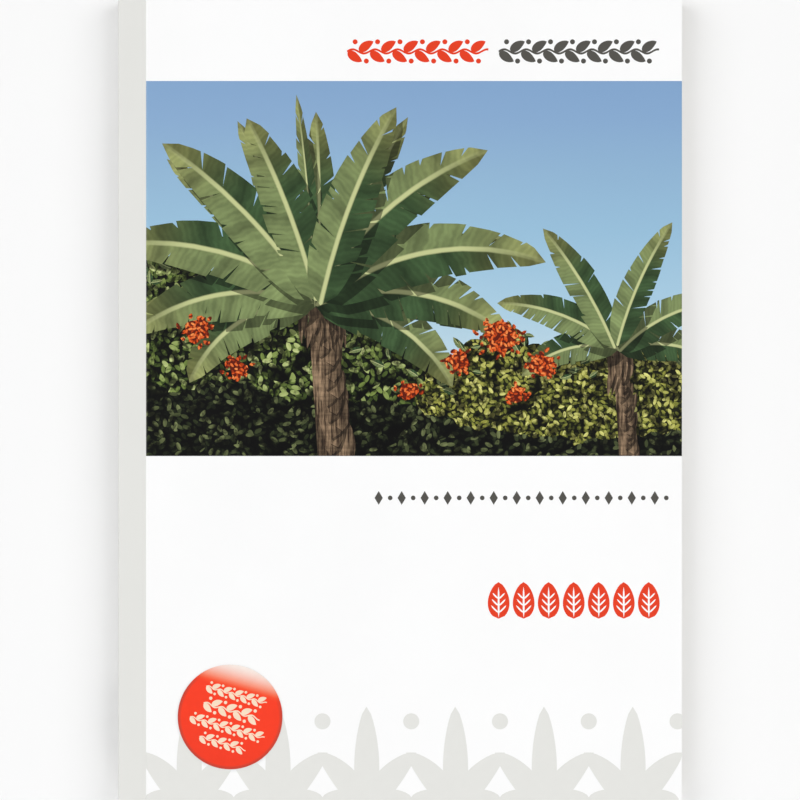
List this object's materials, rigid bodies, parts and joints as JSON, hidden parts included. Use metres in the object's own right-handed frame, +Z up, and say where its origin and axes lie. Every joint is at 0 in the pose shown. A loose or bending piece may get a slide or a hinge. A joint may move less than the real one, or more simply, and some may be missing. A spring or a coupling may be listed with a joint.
{
  "type": "paperback book",
  "caption": "Perfect-bound A5 paperback lying on its back cover, with a front cover that opens at a score line and leaf packs that fan after it.",
  "frame": {"origin": "middle of the back cover's outer face, which the book lies on", "axes": "+Z up through the thickness to the front cover, +Y to the head of the page, -X to the spine"},
  "size_m": [0.148, 0.21, 0.0084],
  "materials": {
    "cover_card": "white coated card, satin laminated outside",
    "book_paper": "uncoated off-white book paper",
    "binding_glue": "hardened hot-melt glue",
    "badge_film": "gloss printed sticker"
  },
  "bodies": {
    "book_block": {"cover_back_and_spine": "cover_card", "spine_glue": "binding_glue", "bound_leaf_edges": "book_paper", "leaves_10": "book_paper"},
    "front_cover": {"cover_front_panel": "cover_card", "badge_sticker": "badge_film"},
    "pack_01": {"leaves_01": "book_paper"},
    "pack_02": {"leaves_02": "book_paper"},
    "pack_03": {"leaves_03": "book_paper"},
    "pack_04": {"leaves_04": "book_paper"},
    "pack_05": {"leaves_05": "book_paper"},
    "pack_06": {"leaves_06": "book_paper"},
    "pack_07": {"leaves_07": "book_paper"},
    "pack_08": {"leaves_08": "book_paper"},
    "pack_09": {"leaves_09": "book_paper"}
  },
  "joints": [
    {"name": "front_cover_hinge", "type": "hinge", "parent": "book_block", "child": "front_cover", "pos_m": [-0.06665, 0, 0.00815], "axis": [0, -1, 0], "range_deg": [0, 176]},
    {"name": "pack_01_hinge", "type": "hinge", "parent": "book_block", "child": "pack_01", "pos_m": [-0.06665, 0, 0.00815], "axis": [0, -1, 0], "range_deg": [0, 170]},
    {"name": "pack_02_hinge", "type": "hinge", "parent": "book_block", "child": "pack_02", "pos_m": [-0.06665, 0, 0.00815], "axis": [0, -1, 0], "range_deg": [0, 151]},
    {"name": "pack_03_hinge", "type": "hinge", "parent": "book_block", "child": "pack_03", "pos_m": [-0.06665, 0, 0.00815], "axis": [0, -1, 0], "range_deg": [0, 132]},
    {"name": "pack_04_hinge", "type": "hinge", "parent": "book_block", "child": "pack_04", "pos_m": [-0.06665, 0, 0.00815], "axis": [0, -1, 0], "range_deg": [0, 113]},
    {"name": "pack_05_hinge", "type": "hinge", "parent": "book_block", "child": "pack_05", "pos_m": [-0.06665, 0, 0.00815], "axis": [0, -1, 0], "range_deg": [0, 95]},
    {"name": "pack_06_hinge", "type": "hinge", "parent": "book_block", "child": "pack_06", "pos_m": [-0.06665, 0, 0.00815], "axis": [0, -1, 0], "range_deg": [0, 76]},
    {"name": "pack_07_hinge", "type": "hinge", "parent": "book_block", "child": "pack_07", "pos_m": [-0.06665, 0, 0.00815], "axis": [0, -1, 0], "range_deg": [0, 57]},
    {"name": "pack_08_hinge", "type": "hinge", "parent": "book_block", "child": "pack_08", "pos_m": [-0.06665, 0, 0.00815], "axis": [0, -1, 0], "range_deg": [0, 38]},
    {"name": "pack_09_hinge", "type": "hinge", "parent": "book_block", "child": "pack_09", "pos_m": [-0.06665, 0, 0.00815], "axis": [0, -1, 0], "range_deg": [0, 19]}
  ],
  "couplings": [
    {"joint": "pack_01_hinge", "follows": "front_cover_hinge", "ratio": 0.954},
    {"joint": "pack_02_hinge", "follows": "front_cover_hinge", "ratio": 0.848},
    {"joint": "pack_03_hinge", "follows": "front_cover_hinge", "ratio": 0.742},
    {"joint": "pack_04_hinge", "follows": "front_cover_hinge", "ratio": 0.636},
    {"joint": "pack_05_hinge", "follows": "front_cover_hinge", "ratio": 0.53},
    {"joint": "pack_06_hinge", "follows": "front_cover_hinge", "ratio": 0.424},
    {"joint": "pack_07_hinge", "follows": "front_cover_hinge", "ratio": 0.318},
    {"joint": "pack_08_hinge", "follows": "front_cover_hinge", "ratio": 0.212},
    {"joint": "pack_09_hinge", "follows": "front_cover_hinge", "ratio": 0.106}
  ]
}
